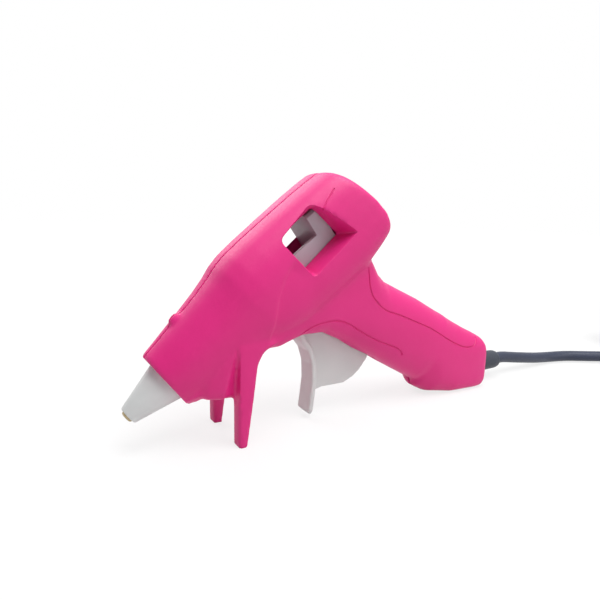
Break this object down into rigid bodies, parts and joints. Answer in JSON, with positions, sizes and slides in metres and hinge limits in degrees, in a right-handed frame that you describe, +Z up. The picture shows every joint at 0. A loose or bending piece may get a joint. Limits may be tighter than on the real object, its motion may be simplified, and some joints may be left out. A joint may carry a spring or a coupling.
{
  "type": "mini hot glue applicator",
  "caption": "Mini hot glue applicator in pink plastic, standing on two legs and its grip, with a swinging trigger, a stick carriage in a sight window, and a cord folded into a tied hank with a two-pin plug.",
  "frame": {"origin": "on the floor below the middle of the gun, from the nozzle's tip to the end of the bend sleeve", "axes": "+X from the nozzle towards the cord, +Y across the gun to its right-hand half, +Z up from the floor"},
  "size_m": [0.4072, 0.0504, 0.0929],
  "materials": {
    "pink_housing": "fine moulded texture, soft sheen",
    "white_trigger": "smooth moulding",
    "white_carriage": "smooth moulding",
    "grey_silicone": "matt moulded silicone",
    "seal_silicone": "matt moulded silicone",
    "nozzle_brass": "turned, dulled by heat",
    "heater_aluminium": "as cast and bored",
    "ptc_ceramic": "heating element in polyimide film",
    "spring_steel": "drawn and formed, bare",
    "screw_steel": "zinc plated",
    "mount_board": "pressed phenolic board",
    "cord_pvc": "soft moulded sheath",
    "relief_rubber": "moulded, slightly matt",
    "wire_silicone": "braided silicone sleeve",
    "tie_nylon": "moulded nylon band",
    "plug_pin_nickel": "nickel plated brass"
  },
  "bodies": {
    "housing": {"left_housing": "pink_housing", "right_housing": "pink_housing", "housing_screw_1": "screw_steel", "housing_screw_2": "screw_steel", "housing_screw_3": "screw_steel", "housing_screw_4": "screw_steel", "nozzle_tip": "nozzle_brass", "nozzle_boot": "grey_silicone", "heater_barrel": "heater_aluminium", "ptc_heater": "ptc_ceramic", "heater_clip": "spring_steel", "heater_mount": "mount_board", "stick_seal": "seal_silicone", "stick_guide": "white_carriage", "trigger_pin": "spring_steel", "cord_clamp": "white_trigger", "clamp_screw": "screw_steel", "strain_relief": "relief_rubber", "inner_cord": "cord_pvc", "heater_wire_1": "wire_silicone", "heater_wire_2": "wire_silicone", "power_cord": "cord_pvc", "cord_hank": "cord_pvc", "hank_tie": "tie_nylon", "plug_body": "relief_rubber", "plug_pin_1": "plug_pin_nickel", "plug_pin_2": "plug_pin_nickel"},
    "trigger": {"trigger": "white_trigger", "trigger_spring": "spring_steel"},
    "carriage": {"stick_carriage": "white_carriage", "grip_plate": "spring_steel", "drive_pin": "spring_steel"}
  },
  "joints": [
    {"name": "trigger_pivot", "type": "hinge", "parent": "housing", "child": "trigger", "pos_m": [-0.0266, 0, 0.0385], "axis": [0, -1, 0], "range_deg": [0, 26], "stiffness_Nm_per_rad": 0.08, "springref_deg": -11.46},
    {"name": "carriage_slide", "type": "slide", "parent": "housing", "child": "carriage", "axis": [-0.7912, 0, -0.6115], "range_m": [0, 0.0047]}
  ],
  "couplings": [
    {"joint": "trigger_pivot", "follows": "carriage_slide", "rad_per_m": 96.637}
  ]
}
